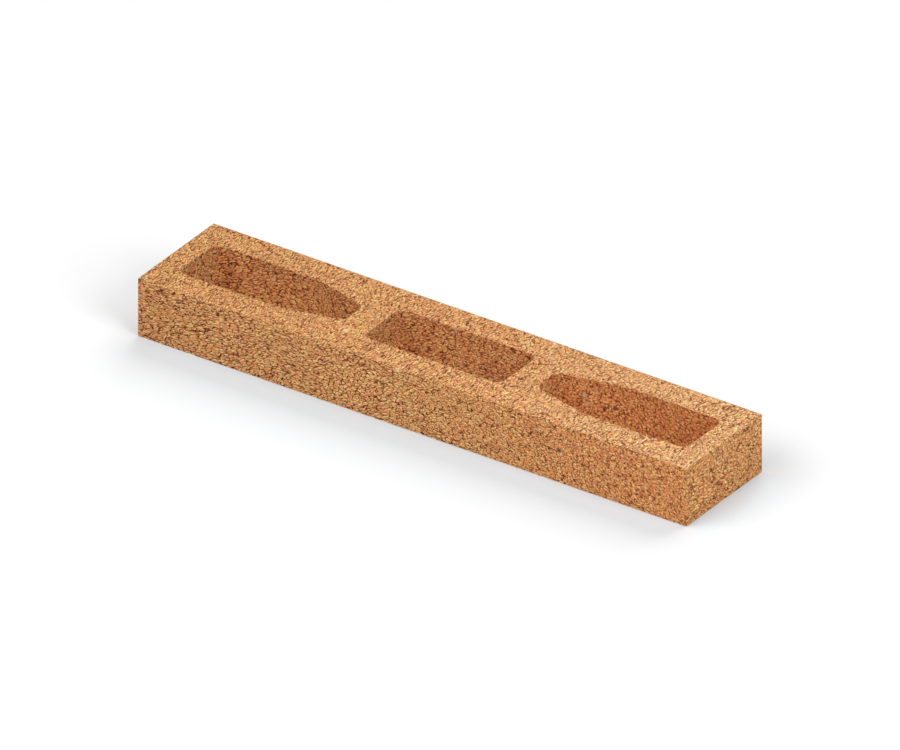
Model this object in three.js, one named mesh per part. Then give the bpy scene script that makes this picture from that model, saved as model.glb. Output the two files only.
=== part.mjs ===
// Long-format cored clay brick, fired as one piece.
// Millimetres, +Z up. The brick lies on its bed face with its length along X and its width along Y.
// The origin is the middle of the lower bed face.
//
// Three cores run through the brick from bed to bed. The middle one is a plain rounded rectangle.
// The two outer ones are square towards the brick's ends and narrow to a blunt nose towards the
// middle, which thickens the side walls around the two webs.

import * as THREE from "three";

// Overall size of the fired brick.
const LENGTH = 500;
const WIDTH = 100;
const HEIGHT = 50;

// Clay left around and between the cores.
const END_WALL = 18.75;
const SIDE_WALL = 25;
const WEB = 25;

// Cores.
const MIDDLE_CORE_LENGTH = 125;
const CORE_CORNER_RADIUS = 8;
const TAPER_LENGTH = 50;
const TAPER_BLEND_RADIUS = 28;
const NOSE_WIDTH = 25;
const NOSE_RADIUS = 8;

// The cut edges between a bed face and the walls, and the brick's four upright corners.
const ARRIS = 0.4;
const UPRIGHT_CORNER_RADIUS = 0.6;

// Steps along a quarter turn of each round.
const CORNER_STEPS = 8;
const ARRIS_STEPS = 2;

// A round never takes more than this share of the shorter side next to it.
const MOST_OF_A_SIDE = 0.49;

const FIRED_CLAY_COLOUR = 0xd29a67;
const FIRED_CLAY_ROUGHNESS = 0.95;

// One rounded corner: the arc tangent to both sides of the corner at `corner`.
function cornerArc(before, corner, after, radius) {
  const toBefore = before.clone().sub(corner);
  const toAfter = after.clone().sub(corner);
  const shorterSide = Math.min(toBefore.length(), toAfter.length());
  toBefore.normalize();
  toAfter.normalize();
  const halfAngle = Math.acos(toBefore.dot(toAfter)) / 2;
  const setback = Math.min(radius / Math.tan(halfAngle), shorterSide * MOST_OF_A_SIDE);
  const arcRadius = setback * Math.tan(halfAngle);

  const bisector = toBefore.clone().add(toAfter).normalize();
  const centre = bisector.multiplyScalar(arcRadius / Math.sin(halfAngle)).add(corner);
  const start = toBefore.multiplyScalar(setback).add(corner).sub(centre);
  const turn = Math.PI - 2 * halfAngle;
  const steps = Math.max(2, Math.ceil((turn / (Math.PI / 2)) * CORNER_STEPS));
  const origin = new THREE.Vector2();
  return Array.from({ length: steps + 1 }, (_, step) =>
    start.clone().rotateAround(origin, (turn * step) / steps).add(centre),
  );
}

// A closed outline through [x, y, radius] corners given anticlockwise.
function roundedOutline(corners) {
  const points = corners.map(([x, y]) => new THREE.Vector2(x, y));
  const count = points.length;
  return points.flatMap((point, i) =>
    cornerArc(points[(i + count - 1) % count], point, points[(i + 1) % count], corners[i][2]),
  );
}

function rectangle(length, width, radius) {
  const x = length / 2;
  const y = width / 2;
  return roundedOutline([
    [-x, -y, radius],
    [x, -y, radius],
    [x, y, radius],
    [-x, y, radius],
  ]);
}

// The core at the +X end, square at its outer end and tapering to its nose at the inner end.
function taperedCore(noseX, squareX, width) {
  const shoulderX = noseX + TAPER_LENGTH;
  const y = width / 2;
  const noseY = NOSE_WIDTH / 2;
  return roundedOutline([
    [shoulderX, -y, TAPER_BLEND_RADIUS],
    [squareX, -y, CORE_CORNER_RADIUS],
    [squareX, y, CORE_CORNER_RADIUS],
    [shoulderX, y, TAPER_BLEND_RADIUS],
    [noseX, noseY, NOSE_RADIUS],
    [noseX, -noseY, NOSE_RADIUS],
  ]);
}

function mirroredInX(outline) {
  return outline.map((point) => new THREE.Vector2(-point.x, point.y)).reverse();
}

function brickProfile() {
  const coreWidth = WIDTH - 2 * SIDE_WALL;
  const noseX = MIDDLE_CORE_LENGTH / 2 + WEB;
  const squareX = LENGTH / 2 - END_WALL;
  const middleCore = rectangle(MIDDLE_CORE_LENGTH, coreWidth, CORE_CORNER_RADIUS);
  const rightCore = taperedCore(noseX, squareX, coreWidth);
  const leftCore = mirroredInX(rightCore);

  const profile = new THREE.Shape(rectangle(LENGTH, WIDTH, UPRIGHT_CORNER_RADIUS));
  profile.holes = [leftCore, middleCore, rightCore].map((outline) => new THREE.Path(outline));
  return profile;
}

// The profile drawn up from bed to bed. The bevel eases the arrises inside the nominal size.
function brickGeometry() {
  const geometry = new THREE.ExtrudeGeometry(brickProfile(), {
    depth: HEIGHT - 2 * ARRIS,
    steps: 1,
    bevelEnabled: true,
    bevelThickness: ARRIS,
    bevelSize: ARRIS,
    bevelOffset: -ARRIS,
    bevelSegments: ARRIS_STEPS,
  });
  return geometry.translate(0, 0, ARRIS);
}

const firedClay = new THREE.MeshStandardMaterial({
  color: FIRED_CLAY_COLOUR,
  roughness: FIRED_CLAY_ROUGHNESS,
  metalness: 0,
});

const brick = new THREE.Mesh(brickGeometry(), firedClay);
brick.name = "brick";

const part = new THREE.Group();
part.name = "clay_brick";
part.add(brick);

export default part;
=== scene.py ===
"""Looks of the clay brick: a grainy fired-clay surface, a pale floor and soft studio light."""

import math
from collections import namedtuple

import bpy
import numpy as np
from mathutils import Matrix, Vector
from mathutils.geometry import delaunay_2d_cdt
from mathutils.kdtree import KDTree


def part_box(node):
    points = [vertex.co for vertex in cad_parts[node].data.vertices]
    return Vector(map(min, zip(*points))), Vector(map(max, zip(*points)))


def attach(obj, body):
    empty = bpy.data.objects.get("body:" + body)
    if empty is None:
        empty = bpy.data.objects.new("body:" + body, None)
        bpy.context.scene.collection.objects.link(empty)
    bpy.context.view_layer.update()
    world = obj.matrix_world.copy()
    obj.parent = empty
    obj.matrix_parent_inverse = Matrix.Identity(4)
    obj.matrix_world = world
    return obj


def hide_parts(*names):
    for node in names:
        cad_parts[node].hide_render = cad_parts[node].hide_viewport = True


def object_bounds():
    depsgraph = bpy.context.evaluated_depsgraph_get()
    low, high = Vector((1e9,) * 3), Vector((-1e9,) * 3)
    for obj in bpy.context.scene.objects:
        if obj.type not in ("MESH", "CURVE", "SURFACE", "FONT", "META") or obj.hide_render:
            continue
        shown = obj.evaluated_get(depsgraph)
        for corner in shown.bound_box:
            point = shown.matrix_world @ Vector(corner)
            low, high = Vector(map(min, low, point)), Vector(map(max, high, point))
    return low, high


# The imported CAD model, and the lowest and highest corners of its box.
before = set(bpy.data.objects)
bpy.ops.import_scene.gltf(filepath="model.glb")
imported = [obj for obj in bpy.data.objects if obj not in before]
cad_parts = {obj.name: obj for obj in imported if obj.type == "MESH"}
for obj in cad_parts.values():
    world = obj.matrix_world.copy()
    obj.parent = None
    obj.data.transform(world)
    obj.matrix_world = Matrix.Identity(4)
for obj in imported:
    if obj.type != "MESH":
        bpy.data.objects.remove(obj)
CAD_LOW, CAD_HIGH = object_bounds()

MM = 0.001
X_AXIS = (1, 0, 0)
Y_AXIS = (0, 1, 0)
WHITE = (1, 1, 1, 1)

# The brick lies along X, and the frame's origin is in the middle of its lower bed.
HALF_LENGTH = CAD_HIGH.x
HALF_WIDTH = CAD_HIGH.y

# Camera: a parallel view from the front right.
CAMERA_AZIMUTH = math.radians(34.67)
CAMERA_ELEVATION = math.radians(30.23)
CAMERA_DISTANCE = 2.0
PICTURE_WIDTH = 674.4 * MM

# Floor: how much darker and cooler it is painted in front of a face of the brick, by the distance from
# that face as a share of FLOOR_REACH. This is painted shade: the clay throws its own warm light there,
# and the painted shade cancels its warmth and deepens the shadow, so the floor looks neutral
# everywhere. The left end is the least lit and throws the least. A distance under FLOOR_STEP counts as
# none.
FLOOR_SIZE = 1.5
FLOOR_REACH = 300 * MM
FLOOR_STEP = 1 * MM
FLOOR_WHITE = (0.997, 0.997, 0.997)
FLOOR_PAINTED_SHADE = (
    (0.0, (0.827, 0.923, 1.0, 1)),
    (0.05, (0.853, 0.941, 1.0, 1)),
    (0.10, (0.894, 0.957, 1.0, 1)),
    (0.15, (0.928, 0.968, 1.0, 1)),
    (0.23, (0.955, 0.981, 1.0, 1)),
    (0.33, (0.973, 0.988, 1.0, 1)),
    (0.50, (0.996, 0.999, 1.0, 1)),
)
LEFT_END_GLOW = 0.54
RIGHT_END_GLOW = 1.05

# Studio light. A softbox is (name, azimuth, elevation, width, height, watts), in degrees and metres.
# FILL is how strongly the white room round the brick lights it.
SOFTBOX_DISTANCE = 4.0
SOFTBOXES = (
    ("back_softbox", 180, 46, 3.8, 3.4, 90),
    ("left_front_softbox", -31, 45, 4.6, 2.8, 113),
    ("right_softbox", 77, 33, 2.4, 2.6, 82),
    ("top_softbox", 0, 88, 2.4, 2.4, 14.5),
)
FILL = 0.01

# Surface mesh: its points' spacing, how many more of them go round a full turn, and how far the
# points of a bed keep from its rims, as a share of the spacing. A round arris has a row of points at
# each of ARRIS_ANGLES, in degrees, and an edge that turns by more than SHARP_ANGLE is a sharp one.
MESH_PITCH = 1.5 * MM
POINTS_PER_TURN = 20
RIM_CLEARANCE = 0.6
ARRIS_ANGLES = (0.0, 45.0, 90.0)
SHARP_ANGLE = math.radians(20)

# A face of the CAD brick is a wall if its normal rises by less than UPRIGHT, and two points closer
# than ROUNDING are the same.
UPRIGHT = 0.01
ROUNDING = 1e-7

# Clay grain: how large its lumps, sand, specks, fine and soft unevenness and patches of hue are.
LUMP = 3.3 * MM
SAND = 1.7 * MM
SPECK = 1.7 * MM
FINE = 0.9 * MM
SOFT = 2.2 * MM
HUE_PATCH = 3.6 * MM

# The grain wanders over the length FLOW, and is crinkled by CRINKLE_PUSH over the length CRINKLE.
FLOW = 60 * MM
CRINKLE = 2.2 * MM
CRINKLE_PUSH = 1.3 * MM

# The crevices between lumps open and close: where a noise is under OPEN_FROM they are nearly shut,
# and over OPEN_TO they have their whole width. A crevice is painted dark, as painted shade, and a
# paler rim runs along each of them as a painted highlight.
OPEN_SCALE = 1.7 * MM
OPEN_FROM = 0.28
OPEN_TO = 0.68
LEAST_OPEN = 0.01
CREVICE_WIDTH = 0.76 * MM
RIM_WIDTH = 0.85 * MM

# A lump's rims are painted paler by PAINTED_LIGHT_SHARE on one side, and darker by as much on the
# other: a painted highlight and painted shade, as if lit from that side. PAINTED_LIGHT_REACH is the
# distance over which its two sides are told apart.
PAINTED_LIGHT_REACH = 0.7 * MM
PAINTED_LIGHT_SHARE = 0.85

# Depth of the grain: the mesh sinks by RELIEF over the last SHOULDER before a crevice, and the bump
# comes on top. SAND_DOME is a sand grain's radius as a share of SAND.
SHOULDER = 1.3 * MM
RELIEF = 0.12 * MM
LUMP_BUMP = 0.30 * MM
SAND_BUMP = 0.10 * MM
SAND_DOME = 0.7
FINE_BUMP = 0.03 * MM

# How far each part of the grain lightens or darkens the clay, on the scale of CLAY_TONES. The
# rims' lightening is a painted highlight.
BASE_TONE = 0.515
RIM_HIGHLIGHT_TONE = 0.60
SOFT_TONE = 0.04
SAND_TONE = 0.12
FINE_TONE = 0.18

# The values that the fine and soft noises keep to, and those that the noise of the hues keeps to.
GRAIN_NOISE = (0.25, 0.75)
HUE_NOISE = (0.3, 0.7)

# Clay colours from the painted shade at the bottom of a crevice to the brightest grains and the
# rims' painted highlights.
CLAY_TONES = (
    (0.0, (0.12, 0.030, 0.012, 1)),
    (0.3, (0.45, 0.150, 0.055, 1)),
    (0.6, (0.84, 0.35, 0.125, 1)),
    (0.85, (0.95, 0.50, 0.19, 1)),
    (1.0, (0.98, 0.66, 0.27, 1)),
)

# How fine the patches of hue are, and how far they change the clay's red, green and blue.
HUE_DETAIL = 2.0
RED_SHIFT = 0.045
GREEN_SHIFT = 0.06
BLUE_SHIFT = 0.20

# Pale yellow specks. SPECK_RADIUS, and SPECK_CORE, inside which a speck is solid, are shares of SPECK.
# SPECKS_AT_FULL is the share of the specks that are as strong as any. A speck is strongest on a rim
# of strength FULL_RIM or more, where it adds to the rim's painted highlight, and away from the rims it
# is weaker by OFF_RIM.
SPECK_COLOUR = (0.92, 0.85, 0.30, 1)
SPECK_RADIUS = 0.55
SPECK_CORE = 0.275
SPECKS_AT_FULL = 0.6
FULL_RIM = 0.7
OFF_RIM = 0.4

CLAY_ROUGHNESS = 0.95
CLAY_SPECULAR = 0.2

# How each kind of face was made. Its grain was drawn out along the first of axes, which turns to the
# second over the right half of the brick, and it wanders by flow. stretches is how far the grain was
# drawn out and depths is how much darker the painted shade makes a crevice, at the left end
# and at the right one. tints multiply the clay's colour at the left end, in the middle and at the
# right end. specks is the share of its grains that are pale specks. lee points from
# the paler, painted-highlight side of a lump towards its darker side, the way the painted light falls.
Clay = namedtuple("Clay", "name axes stretches flow depths specks tints lee")
SIDE_CLAY = Clay(
    name="side_clay",
    axes=((0.978, 0.0, 0.208), (0.966, 0.0, -0.259)),
    stretches=(3.0, 1.8),
    flow=10 * MM,
    depths=(1.22, 1.02),
    specks=0.20,
    tints=((0.870, 0.837, 0.836, 1), (0.920, 0.924, 0.931, 1), (0.944, 0.812, 0.775, 1)),
    lee=(0.0, 0.0, -PAINTED_LIGHT_REACH),
)
END_CLAY = Clay(
    name="end_clay",
    axes=((0.0, 0.99, -0.12), (0.0, 0.99, -0.12)),
    stretches=(2.2, 2.2),
    flow=10 * MM,
    depths=(1.10, 1.10),
    specks=0.20,
    tints=((0.802, 0.84, 0.879, 1), (0.832, 0.85, 0.879, 1), (0.936, 0.925, 0.919, 1)),
    lee=(0.0, 0.0, -PAINTED_LIGHT_REACH),
)
BED_CLAY = Clay(
    name="wire_cut_clay",
    axes=((-0.02, -1.0, 0.0), (-0.02, -1.0, 0.0)),
    stretches=(3.5, 3.0),
    flow=6 * MM,
    depths=(1.14, 1.06),
    specks=0.15,
    tints=((0.945, 0.972, 0.977, 1), (1.01, 1.032, 1.097, 1), (1.063, 1.191, 1.411, 1)),
    lee=(-PAINTED_LIGHT_REACH / 2, -PAINTED_LIGHT_REACH / 2, 0.0),
)

# The clay inside the cores is redder: painted light, standing in for the warm light that bounces
# between their walls.
CORE_BOUNCE_TINT = (1.095, 1.015, 0.99, 1)

# Single grains, stains and pits that stand out: place on the brick in mm, width in mm, colour. One
# fades out over the outer half of its width. MARK_SHARE is how well its middle covers the clay, and
# MARK_EDGE how ragged its edge is.
PALE_GRAIN = (0.88, 0.72, 0.44, 1)
GREY_GRAIN = (0.62, 0.52, 0.36, 1)
PINK_LUMP = (0.86, 0.48, 0.25, 1)
RED_FLECK = (0.82, 0.24, 0.08, 1)
IRON_STAIN = (0.14, 0.060, 0.050, 1)
PIT = (0.07, 0.022, 0.014, 1)
MARK_SHARE = 0.85
MARK_EDGE = 0.7 * MM
MARKS = (
    ((-174, -50, 39), 5, PINK_LUMP),
    ((-177, -50, 43), 4, PIT),
    ((-178, 25, 37), 5, PINK_LUMP),
    ((-176, 25, 43), 4, PIT),
    ((-231, -17, 50), 3, GREY_GRAIN),
    ((-78, -25, 50), 4, PALE_GRAIN),
    ((-61, -17, 50), 3, GREY_GRAIN),
    ((-32, -46, 50), 7, PINK_LUMP),
    ((-13, -50, 49), 4, PALE_GRAIN),
    ((-13, 25, 49), 4, GREY_GRAIN),
    ((72, 29, 50), 5, GREY_GRAIN),
    ((114, -23, 50), 7, PINK_LUMP),
    ((105, -16, 47), 4, PIT),
    ((110, 18, 35), 5, GREY_GRAIN),
    ((112, 19, 28), 5, PINK_LUMP),
    ((129, -47, 50), 5, RED_FLECK),
    ((125, -50, 27), 4, PIT),
    ((134, -50, 28), 5, IRON_STAIN),
    ((126, 22, 27), 4, PIT),
    ((134, 24, 29), 5, IRON_STAIN),
    ((131, 27, 50), 4, PALE_GRAIN),
    ((219, -50, 23), 5, RED_FLECK),
    ((233, -50, 26), 5, RED_FLECK),
    ((250, -15, 49), 3, PALE_GRAIN),
)

# Material slots of the brick's faces.
SIDE = 0
END = 1
BED = 2


# ---------------------------------------------------------------- node helpers


class Graph:
    """Short names for adding nodes to a shader or geometry node tree."""

    def __init__(self, tree):
        self.tree = tree

    def node(self, kind, **settings):
        made = self.tree.nodes.new(kind)
        for name, value in settings.items():
            setattr(made, name, value)
        return made

    def plug(self, socket, value):
        if isinstance(value, bpy.types.NodeSocket):
            self.tree.links.new(value, socket)
        else:
            socket.default_value = value

    def math(self, operation, a, b=0.0, clamp=False):
        made = self.node("ShaderNodeMath", operation=operation, use_clamp=clamp)
        self.plug(made.inputs[0], a)
        self.plug(made.inputs[1], b)
        return made.outputs[0]

    def vector(self, operation, a, b):
        made = self.node("ShaderNodeVectorMath", operation=operation)
        self.plug(made.inputs[0], a)
        self.plug(made.inputs[1], b)
        return made.outputs[0]

    def dot(self, a, b):
        made = self.node("ShaderNodeVectorMath", operation="DOT_PRODUCT")
        self.plug(made.inputs[0], a)
        self.plug(made.inputs[1], b)
        return made.outputs["Value"]

    def scaled(self, vector, factor):
        made = self.node("ShaderNodeVectorMath", operation="SCALE")
        self.plug(made.inputs[0], vector)
        self.plug(made.inputs["Scale"], factor)
        return made.outputs[0]

    def ramp(self, value, start, end, low=0.0, high=1.0, smooth=True):
        kind = "SMOOTHSTEP" if smooth else "LINEAR"
        made = self.node("ShaderNodeMapRange", interpolation_type=kind)
        self.plug(made.inputs["Value"], value)
        self.plug(made.inputs["From Min"], start)
        self.plug(made.inputs["From Max"], end)
        self.plug(made.inputs["To Min"], low)
        self.plug(made.inputs["To Max"], high)
        return made.outputs["Result"]

    def colour_ramp(self, value, stops):
        made = self.node("ShaderNodeValToRGB")
        elements = made.color_ramp.elements
        while len(elements) < len(stops):
            elements.new(1.0)
        for element, (place, colour) in zip(elements, stops):
            element.position = place
            element.color = colour
        self.plug(made.inputs[0], value)
        return made.outputs[0]

    def noise(self, place, length, detail=1.0):
        made = self.node("ShaderNodeTexNoise")
        self.plug(made.inputs["Vector"], place)
        made.inputs["Scale"].default_value = 1 / length
        made.inputs["Detail"].default_value = detail
        return made

    def voronoi(self, place, length, feature="F1"):
        made = self.node("ShaderNodeTexVoronoi", feature=feature)
        self.plug(made.inputs["Vector"], place)
        made.inputs["Scale"].default_value = 1 / length
        return made

    def mix(self, factor, a, b, kind="RGBA"):
        made = self.node("ShaderNodeMix", data_type=kind)
        self.plug(made.inputs[0], factor)
        for name, value in (("A", a), ("B", b)):
            socket = [s for s in made.inputs if s.enabled and s.name == name][0]
            self.plug(socket, value)
        return [s for s in made.outputs if s.enabled][0]

    def channels(self, colour):
        made = self.node("ShaderNodeSeparateColor")
        self.plug(made.inputs[0], colour)
        return made.outputs


# ---------------------------------------------------------------- camera, floor and light


def direction(azimuth, elevation):
    """Unit vector from the brick towards a viewer or a lamp. Azimuth 0 is in front of a long side."""
    flat = math.cos(elevation)
    return Vector((math.sin(azimuth) * flat, -math.cos(azimuth) * flat, math.sin(elevation)))


def aim(obj, target):
    obj.rotation_euler = (target - obj.location).to_track_quat("-Z", "Y").to_euler()


def add_camera(target):
    lens = bpy.data.cameras.new("camera")
    lens.type = "ORTHO"
    lens.ortho_scale = PICTURE_WIDTH
    camera = bpy.data.objects.new("camera", lens)
    bpy.context.scene.collection.objects.link(camera)
    camera.location = target + CAMERA_DISTANCE * direction(CAMERA_AZIMUTH, CAMERA_ELEVATION)
    aim(camera, target)
    bpy.context.scene.camera = camera


def seen_share(graph, away, along, half):
    """How much of a face a point sees: 1 close to its middle, and half as much off its edge."""
    share = 0.0
    for side in (-1, 1):
        reach = graph.math("ADD", graph.math("MULTIPLY", along, side), half)
        squares = graph.math("MULTIPLY", reach, reach), graph.math("MULTIPLY", away, away)
        slant = graph.math("SQRT", graph.math("ADD", *squares))
        share = graph.math("ADD", share, graph.math("DIVIDE", reach, slant))
    return graph.math("MULTIPLY", share, 0.5)


def floor_material():
    material = bpy.data.materials.new("floor")
    material.use_nodes = True
    graph = Graph(material.node_tree)
    shader = material.node_tree.nodes["Principled BSDF"]
    place = graph.node("ShaderNodeNewGeometry").outputs["Position"]
    x = graph.dot(place, X_AXIS)
    y = graph.dot(place, Y_AXIS)
    past_end = graph.math("GREATER_THAN", graph.math("ABSOLUTE", x), HALF_LENGTH)
    end_glow = graph.ramp(x, 0.0, FLOOR_STEP, LEFT_END_GLOW, RIGHT_END_GLOW)
    end_glow = graph.math("MULTIPLY", end_glow, past_end)
    colour = FLOOR_WHITE
    sides = (y, HALF_WIDTH, x, HALF_LENGTH, 1.0)
    ends = (x, HALF_LENGTH, y, HALF_WIDTH, end_glow)
    for across, near, along, half, glow in (sides, ends):
        away = graph.math("SUBTRACT", graph.math("ABSOLUTE", across), near)
        away = graph.math("MAXIMUM", away, FLOOR_STEP)
        share = graph.math("MULTIPLY", seen_share(graph, away, along, half), glow)
        # The floor is painted darker and cooler near the brick: painted shade.
        tint = graph.colour_ramp(graph.math("DIVIDE", away, FLOOR_REACH, clamp=True), FLOOR_PAINTED_SHADE)
        colour = graph.vector("MULTIPLY", colour, graph.mix(share, WHITE, tint))
    graph.plug(shader.inputs["Base Color"], colour)
    shader.inputs["Roughness"].default_value = 1.0
    shader.inputs["Specular IOR Level"].default_value = 0.0
    return material


def add_floor():
    half = FLOOR_SIZE / 2
    mesh = bpy.data.meshes.new("floor")
    corners = [(-half, -half, 0), (half, -half, 0), (half, half, 0), (-half, half, 0)]
    mesh.from_pydata(corners, [], [(0, 1, 2, 3)])
    floor = bpy.data.objects.new("floor", mesh)
    bpy.context.scene.collection.objects.link(floor)
    mesh.materials.append(floor_material())


def add_softbox(name, azimuth, elevation, width, height, watts, target):
    light = bpy.data.lights.new(name, "AREA")
    light.shape = "RECTANGLE"
    light.size = width
    light.size_y = height
    light.energy = watts
    lamp = bpy.data.objects.new(name, light)
    bpy.context.scene.collection.objects.link(lamp)
    towards_lamp = direction(math.radians(azimuth), math.radians(elevation))
    lamp.location = target + SOFTBOX_DISTANCE * towards_lamp
    aim(lamp, target)


def add_studio():
    """A white room to look at, which lights the brick only faintly."""
    world = bpy.data.worlds.new("studio")
    world.use_nodes = True
    nodes = world.node_tree.nodes
    links = world.node_tree.links
    fill = nodes["Background"]
    fill.inputs["Color"].default_value = WHITE
    fill.inputs["Strength"].default_value = FILL
    backdrop = nodes.new("ShaderNodeBackground")
    backdrop.inputs["Color"].default_value = WHITE
    seen = nodes.new("ShaderNodeMixShader")
    links.new(nodes.new("ShaderNodeLightPath").outputs["Is Camera Ray"], seen.inputs["Fac"])
    links.new(fill.outputs["Background"], seen.inputs[1])
    links.new(backdrop.outputs["Background"], seen.inputs[2])
    links.new(seen.outputs["Shader"], nodes["World Output"].inputs["Surface"])
    bpy.context.scene.world = world


def add_light(target):
    for softbox in SOFTBOXES:
        add_softbox(*softbox, target)
    add_studio()


# ---------------------------------------------------------------- surface mesh


def key(point):
    """A point as whole numbers, so that the same corner of two faces is found by it."""
    return tuple(round(value / ROUNDING) for value in point)


def wall_outlines(brick):
    """The outlines of the brick and its cores, and how high their walls begin and end.

    Each outline has the clay on its left.
    """
    mesh = brick.data
    walls = [face for face in mesh.polygons if abs(face.normal.z) < UPRIGHT]
    heights = [mesh.vertices[i].co.z for face in walls for i in face.vertices]
    foot, head = min(heights), max(heights)
    following = {}
    for face in walls:
        corners = [mesh.vertices[i].co for i in face.vertices]
        for start, end in zip(corners, corners[1:] + corners[:1]):
            if max(start.z, end.z) < foot + ROUNDING:
                following[key(start.xy)] = (start.xy, key(end.xy))
    outlines = []
    while following:
        place = next(iter(following))
        outline = []
        while place in following:
            point, place = following.pop(place)
            outline.append(point)
        outlines.append(np.array(outline))
    return outlines, foot, head


def resampled(outline):
    """The outline with evenly spaced points, and more of them where it turns."""
    sides = np.roll(outline, -1, axis=0) - outline
    lengths = np.linalg.norm(sides, axis=1)
    headings = np.arctan2(sides[:, 1], sides[:, 0])
    turns = np.abs((np.roll(headings, -1) - headings + np.pi) % (2 * np.pi) - np.pi)
    turns = (turns + np.roll(turns, 1)) / 2
    shares = lengths / MESH_PITCH + turns / (2 * np.pi) * POINTS_PER_TURN
    along = np.concatenate([[0.0], np.cumsum(shares)])
    count = round(along[-1])
    wanted = np.arange(count) * along[-1] / count
    closed = np.vstack([outline, outline[:1]])
    return np.column_stack([np.interp(wanted, along, closed[:, axis]) for axis in (0, 1)])


def towards_clay(outline):
    """The unit vector square to the outline at each of its points."""
    along = np.roll(outline, -1, axis=0) - np.roll(outline, 1, axis=0)
    square = np.column_stack([-along[:, 1], along[:, 0]])
    return square / np.linalg.norm(square, axis=1)[:, None]


def wall_rows(foot, head, height):
    """(height, inset) of each row of points up a wall, with an eased arris at both ends.

    An arris is as high and as deep as the wall's foot is above the bed.
    """
    ease = [(1 - math.cos(math.radians(a)), 1 - math.sin(math.radians(a))) for a in ARRIS_ANGLES]
    low = [(foot * up, foot * inset) for up, inset in ease]
    middle_count = round((head - foot) / MESH_PITCH)
    middle = [(foot + (head - foot) * i / middle_count, 0.0) for i in range(1, middle_count)]
    high = [(height - z, inset) for z, inset in reversed(low)]
    return low + middle + high


def is_inside(points, outline):
    """Whether each point is inside a closed outline."""
    ends = np.roll(outline, -1, axis=0)
    inside = np.zeros(len(points), dtype=bool)
    for (x0, y0), (x1, y1) in zip(outline, ends):
        crosses = (points[:, 1] < y0) != (points[:, 1] < y1)
        if crosses.any():
            x = x0 + (points[:, 1] - y0) * (x1 - x0) / (y1 - y0 if y1 != y0 else 1.0)
            inside ^= crosses & (points[:, 0] < x)
    return inside


def in_clay(points, rims):
    """Whether each point is inside the first rim and in none of the others."""
    return np.logical_xor.reduce([is_inside(points, rim) for rim in rims])


def bed_points(rims):
    """Points spread evenly over the bed face, clear of its rims."""
    rim_points = np.vstack(rims)
    low, high = rim_points.min(axis=0), rim_points.max(axis=0)
    row_pitch = MESH_PITCH * math.sqrt(3) / 2
    rows = np.arange(low[1] + row_pitch / 2, high[1], row_pitch)
    columns = np.arange(low[0] + MESH_PITCH / 2, high[0], MESH_PITCH)
    shifts = [MESH_PITCH / 2 * (i % 2) for i in range(len(rows))]
    points = np.array([(x + shift, y) for shift, y in zip(shifts, rows) for x in columns])
    points = points[in_clay(points, rims)]
    tree = KDTree(len(rim_points))
    for i, (x, y) in enumerate(rim_points):
        tree.insert((x, y, 0), i)
    tree.balance()
    clear = [tree.find((x, y, 0))[2] > MESH_PITCH * RIM_CLEARANCE for x, y in points]
    return points[clear]


def bed_triangles(rims):
    """(points, triangles) of the bed face: the rims' points come first, in their order."""
    points = np.vstack(rims + [bed_points(rims)])
    edges = []
    first = 0
    for rim in rims:
        ring = range(first, first + len(rim))
        edges += list(zip(ring, list(ring[1:]) + [first]))
        first += len(rim)
    corners = [Vector(point) for point in points]
    _, _, faces, origins, _, _ = delaunay_2d_cdt(corners, edges, [], 0, ROUNDING)
    triangles = np.array([[origins[i][0] for i in face] for face in faces])
    centres = points[triangles].mean(axis=1)
    return points, triangles[in_clay(centres, rims)]


class Surface:
    """The points and faces of the brick's surface, and each face's slot and whether it is in a core."""

    def __init__(self):
        self.places = []
        self.faces = []
        self.slots = []
        self.in_core = []

    def add_wall(self, outline, rows, in_core):
        """A ring of points for each of rows, joined into faces. Gives its first point's number."""
        start = len(self.places)
        count = len(outline)
        square = towards_clay(outline)
        for height, inset in rows:
            self.places += [(x, y, height) for x, y in outline + square * inset]
        along = np.abs(np.roll(outline, -1, axis=0) - outline)
        across = along[:, 1] > along[:, 0]
        for row in range(len(rows) - 1):
            for i in range(count):
                here = start + row * count + i
                ahead = start + row * count + (i + 1) % count
                self.faces.append((here, ahead, ahead + count, here + count))
                self.slots.append(END if across[i] else SIDE)
                self.in_core.append(in_core)
        return start

    def add_bed(self, rim_numbers, inner, height, triangles):
        """A bed face between rims that are there already, with points of its own inside it."""
        first = len(self.places)
        numbers = rim_numbers + list(range(first, first + len(inner)))
        self.places += [(x, y, height) for x, y in inner]
        self.faces += [tuple(numbers[i] for i in triangle) for triangle in triangles]
        self.slots += [BED] * len(triangles)
        self.in_core += [False] * len(triangles)

    def mesh(self):
        mesh = bpy.data.meshes.new("fired_brick")
        mesh.from_pydata(self.places, [], self.faces)
        mesh.polygons.foreach_set("material_index", np.array(self.slots, dtype=np.int32))
        mesh.polygons.foreach_set("use_smooth", np.ones(len(self.slots), dtype=bool))
        rest = mesh.attributes.new("rest", "FLOAT_VECTOR", "POINT")
        rest.data.foreach_set("vector", np.array(self.places, dtype=np.float32).ravel())
        core = mesh.attributes.new("core", "FLOAT", "FACE")
        core.data.foreach_set("value", np.array(self.in_core, dtype=np.float32))
        for name, slot in (("end", END), ("bed", BED)):
            touched = [i for face, kind in zip(self.faces, self.slots) if kind == slot for i in face]
            share = np.zeros(len(self.places), dtype=np.float32)
            share[touched] = 1.0
            mesh.attributes.new(name, "FLOAT", "POINT").data.foreach_set("value", share)
        mesh.set_sharp_from_angle(angle=SHARP_ANGLE)
        mesh.update()
        return mesh


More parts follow.
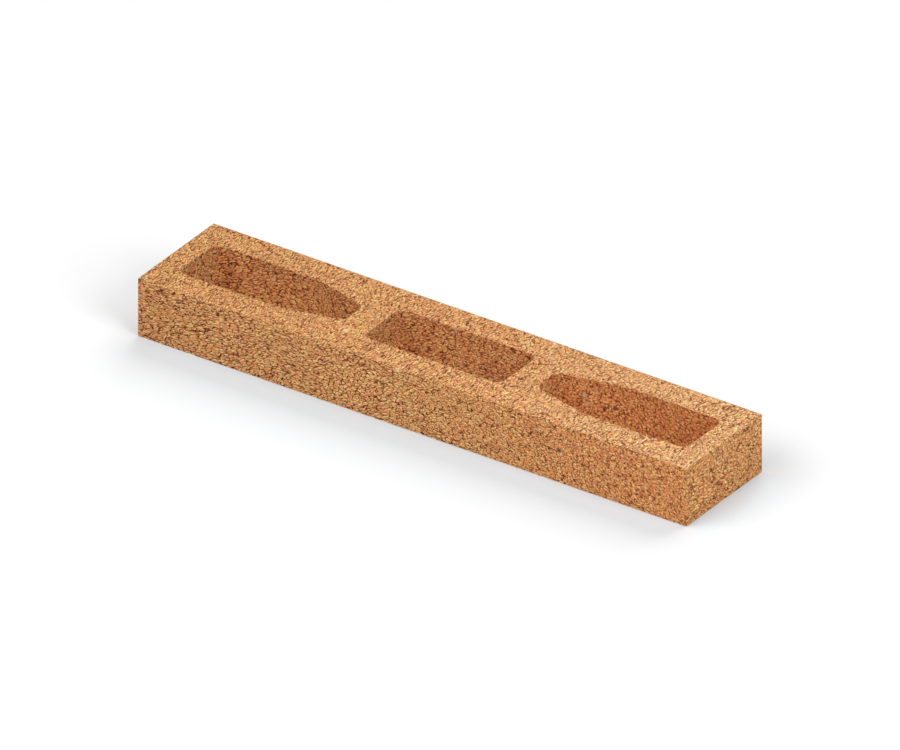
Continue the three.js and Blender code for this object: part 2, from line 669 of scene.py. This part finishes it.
def surface_mesh(brick):
    """A fine even mesh of the CAD brick's surface, with a material slot for each kind of face."""
    low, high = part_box("brick")
    outlines, foot, head = wall_outlines(brick)
    outlines = [resampled(outline) for outline in outlines]
    outlines.sort(key=len, reverse=True)
    rows = wall_rows(foot, head, high[2])
    surface = Surface()
    starts = [surface.add_wall(outline, rows, i > 0) for i, outline in enumerate(outlines)]

    rims = [outline + towards_clay(outline) * rows[0][1] for outline in outlines]
    points, triangles = bed_triangles(rims)
    for height, row, turn in ((low[2], 0, -1), (high[2], len(rows) - 1, 1)):
        rim_numbers = []
        for start, outline in zip(starts, outlines):
            first = start + row * len(outline)
            rim_numbers += range(first, first + len(outline))
        inner = points[len(rim_numbers):]
        surface.add_bed(rim_numbers, inner, height, triangles[:, ::turn])
    return surface.mesh()


# ---------------------------------------------------------------- clay


# dragged is the place drawn out and bent as the clay was, warped is it with its crinkles, and edge is
# how far it is from the edge of its lump.
Grain = namedtuple("Grain", "dragged warped edge")


def pushed(graph, point, place, length, push):
    """point moved by up to about push in any direction, differently every few lengths."""
    noise = graph.noise(place, length).outputs["Color"]
    offset = graph.scaled(graph.vector("SUBTRACT", noise, (0.5, 0.5, 0.5)), push * 2)
    return graph.vector("ADD", point, offset)


def along_brick(graph, place, ends):
    """A value that changes evenly along the brick, from the first of ends to the second."""
    x = graph.dot(place, X_AXIS)
    return graph.ramp(x, -HALF_LENGTH, HALF_LENGTH, *ends, smooth=False)


def drawn_out(graph, place, point, clay):
    """point squeezed across the clay's axis, and let out along it, so that its grain is longer.

    The axis turns from the first of the clay's axes to the second over the right half of the brick.
    """
    across = along_brick(graph, place, [math.sqrt(stretch) for stretch in clay.stretches])
    gain = graph.math("SUBTRACT", graph.math("DIVIDE", 1.0, across), across)
    x = graph.dot(place, X_AXIS)
    turned = graph.ramp(x, 0.0, HALF_LENGTH, smooth=False)
    axis = graph.mix(turned, *clay.axes, "VECTOR")
    extra = graph.scaled(axis, graph.math("MULTIPLY", graph.dot(point, axis), gain))
    return graph.vector("ADD", graph.scaled(point, across), extra)


def lump_edge(graph, point):
    """How far a point of the grain is from the edge of its lump."""
    edge = graph.voronoi(point, LUMP, "DISTANCE_TO_EDGE").outputs["Distance"]
    return graph.math("MULTIPLY", edge, LUMP)


def clay_grain(graph, place, clay):
    """The places and the lump edges that the grain's pattern is made from."""
    dragged = drawn_out(graph, place, pushed(graph, place, place, FLOW, clay.flow), clay)
    warped = pushed(graph, dragged, dragged, CRINKLE, CRINKLE_PUSH)
    return Grain(dragged, warped, lump_edge(graph, warped))


def swing(graph, value, amount):
    """A value that runs from 0 to 1, turned into one that runs from -amount to amount."""
    return graph.ramp(value, 0.0, 1.0, -amount, amount, smooth=False)


def crevices_and_rims(graph, grain, clay):
    """How much a point is in a crevice, and how much on a rim. The rim's painted highlight is stronger
    on one side of each lump, as painted light from that side.
    """
    opened = graph.noise(grain.dragged, OPEN_SCALE).outputs[0]
    opened = graph.ramp(opened, OPEN_FROM, OPEN_TO, LEAST_OPEN, 1.0)
    width = graph.math("MULTIPLY", opened, CREVICE_WIDTH)
    crevice = graph.ramp(grain.edge, 0.0, width, 1.0, 0.0)
    rim_end = graph.math("ADD", width, RIM_WIDTH)
    rim = graph.math("MULTIPLY", graph.ramp(grain.edge, width, rim_end, 1.0, 0.0), opened)
    # The rims are painted paler on the side of each lump that the painted light falls on, and less pale
    # on the other: painted highlight and painted shade.
    edge_along_light = lump_edge(graph, graph.vector("ADD", grain.warped, clay.lee))
    painted_light_factor = graph.math("SUBTRACT", edge_along_light, grain.edge)
    painted_light_factor = graph.ramp(painted_light_factor, -PAINTED_LIGHT_REACH, PAINTED_LIGHT_REACH, 1 - PAINTED_LIGHT_SHARE, 1 + PAINTED_LIGHT_SHARE, smooth=False)
    return crevice, graph.math("MULTIPLY", rim, painted_light_factor)


def toned(graph, base, swings):
    """The clay's colour at a tone that each of swings, a value from 0 to 1, moves by its amount."""
    tone = base
    for value, amount in swings:
        tone = graph.math("ADD", tone, swing(graph, value, amount))
    return graph.colour_ramp(tone, CLAY_TONES)


def hued(graph, grain, colour):
    """The colour with its patches of other hues."""
    patch = graph.channels(graph.noise(grain.warped, HUE_PATCH, HUE_DETAIL).outputs["Color"])
    hue = graph.node("ShaderNodeCombineColor")
    shifts = (patch[1], -RED_SHIFT), (patch[1], GREEN_SHIFT), (patch[2], BLUE_SHIFT)
    for socket, (value, amount) in zip(hue.inputs, shifts):
        graph.plug(socket, graph.ramp(value, *HUE_NOISE, 1 - amount, 1 + amount, smooth=False))
    return graph.vector("MULTIPLY", colour, hue.outputs[0])


def specked(graph, grain, clay, rim, colour):
    """The colour with its pale specks, which are strongest on the rims and add to their painted
    highlight.
    """
    speck = graph.voronoi(grain.dragged, SPECK)
    picked = graph.channels(speck.outputs["Color"])[0]
    picked = graph.ramp(picked, 1 - clay.specks, 1 - clay.specks * SPECKS_AT_FULL)
    dot = graph.ramp(speck.outputs["Distance"], SPECK_CORE, SPECK_RADIUS, 1.0, 0.0)
    dot = graph.math("MULTIPLY", dot, graph.ramp(rim, 0.0, FULL_RIM, 1 - OFF_RIM, 1.0))
    return graph.mix(graph.math("MULTIPLY", picked, dot), colour, SPECK_COLOUR)


def tinted(graph, place, clay, colour):
    """The colour with its tints along the brick, and with painted warm bounce light inside the cores.
    """
    stops = list(zip((0.0, 0.5, 1.0), clay.tints))
    tint = graph.colour_ramp(along_brick(graph, place, (0.0, 1.0)), stops)
    colour = graph.vector("MULTIPLY", colour, tint)
    # The cores' clay is painted redder: painted warm bounce light.
    core = graph.node("ShaderNodeAttribute", attribute_name="core").outputs["Fac"]
    return graph.vector("MULTIPLY", colour, graph.mix(core, WHITE, CORE_BOUNCE_TINT))


def marked(graph, place, colour):
    """The colour with the single grains and stains laid over it."""
    ragged = pushed(graph, place, place, MARK_EDGE * 2, MARK_EDGE)
    for centre, width, mark_colour in MARKS:
        away = graph.vector("SUBTRACT", ragged, [value * MM for value in centre])
        away = graph.math("SQRT", graph.dot(away, away))
        share = graph.ramp(away, width / 4 * MM, width / 2 * MM, MARK_SHARE, 0.0)
        colour = graph.mix(share, colour, mark_colour)
    return colour


def clay_material(clay):
    material = bpy.data.materials.new(clay.name)
    material.use_nodes = True
    graph = Graph(material.node_tree)
    shader = material.node_tree.nodes["Principled BSDF"]
    place = graph.node("ShaderNodeAttribute", attribute_name="rest").outputs["Vector"]
    grain = clay_grain(graph, place, clay)
    crevice, rim = crevices_and_rims(graph, grain, clay)
    sand = graph.voronoi(grain.warped, SAND)
    sand_shade = graph.channels(sand.outputs["Color"])[0]
    fine = graph.ramp(graph.noise(grain.dragged, FINE).outputs[0], *GRAIN_NOISE, smooth=False)
    soft = graph.ramp(graph.noise(grain.warped, SOFT).outputs[0], *GRAIN_NOISE, smooth=False)

    # Each crevice is painted darker: painted shade.
    crevice_shade = along_brick(graph, place, clay.depths)
    tone = graph.math("SUBTRACT", BASE_TONE, graph.math("MULTIPLY", crevice, crevice_shade))
    # The rims are painted lighter: a painted highlight.
    tone = graph.math("ADD", tone, graph.math("MULTIPLY", rim, RIM_HIGHLIGHT_TONE))
    swings = (soft, SOFT_TONE), (sand_shade, SAND_TONE), (fine, FINE_TONE)
    colour = toned(graph, tone, swings)
    colour = hued(graph, grain, colour)
    colour = specked(graph, grain, clay, rim, colour)
    colour = tinted(graph, place, clay, colour)
    colour = marked(graph, place, colour)
    graph.plug(shader.inputs["Base Color"], colour)
    shader.inputs["Roughness"].default_value = CLAY_ROUGHNESS
    shader.inputs["Specular IOR Level"].default_value = CLAY_SPECULAR

    height = graph.ramp(crevice, 0.0, 1.0, LUMP_BUMP, 0.0, smooth=False)
    dome = graph.ramp(sand.outputs["Distance"], 0.0, SAND_DOME, SAND_BUMP, 0.0)
    height = graph.math("ADD", height, dome)
    height = graph.math("ADD", height, graph.math("MULTIPLY", fine, FINE_BUMP))
    bump = graph.node("ShaderNodeBump")
    graph.plug(bump.inputs["Height"], height)
    bump.inputs["Distance"].default_value = 1.0
    bump.inputs["Strength"].default_value = 1.0
    graph.plug(shader.inputs["Normal"], bump.outputs["Normal"])
    return material


def relief_nodes():
    """Geometry nodes that sink the surface towards the edges of the clay's lumps."""
    tree = bpy.data.node_groups.new("clay_relief", "GeometryNodeTree")
    for way in ("INPUT", "OUTPUT"):
        tree.interface.new_socket("Geometry", in_out=way, socket_type="NodeSocketGeometry")
    graph = Graph(tree)
    place = graph.node("GeometryNodeInputPosition").outputs[0]
    normal = graph.node("GeometryNodeInputNormal").outputs[0]
    edge = clay_grain(graph, place, SIDE_CLAY).edge
    for name, clay in (("end", END_CLAY), ("bed", BED_CLAY)):
        share = graph.node("GeometryNodeInputNamedAttribute", data_type="FLOAT")
        share.inputs["Name"].default_value = name
        edge = graph.mix(share.outputs[0], edge, clay_grain(graph, place, clay).edge, "FLOAT")
    sink = graph.ramp(edge, 0.0, SHOULDER, -RELIEF, 0.0)
    move = graph.node("GeometryNodeSetPosition")
    graph.plug(move.inputs["Offset"], graph.scaled(normal, sink))
    start = graph.node("NodeGroupInput")
    end = graph.node("NodeGroupOutput")
    graph.plug(move.inputs["Geometry"], start.outputs[0])
    graph.plug(end.inputs[0], move.outputs[0])
    return tree


def add_brick(cad_brick):
    mesh = surface_mesh(cad_brick)
    for clay in (SIDE_CLAY, END_CLAY, BED_CLAY):
        mesh.materials.append(clay_material(clay))
    brick = bpy.data.objects.new("fired_brick", mesh)
    bpy.context.scene.collection.objects.link(brick)
    brick.modifiers.new("relief", "NODES").node_group = relief_nodes()
    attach(brick, "root")
    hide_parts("brick")


def main():
    target = (CAD_LOW + CAD_HIGH) / 2
    bpy.context.scene.view_settings.view_transform = "Standard"
    add_camera(target)
    add_floor()
    add_light(target)
    add_brick(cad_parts["brick"])


main()
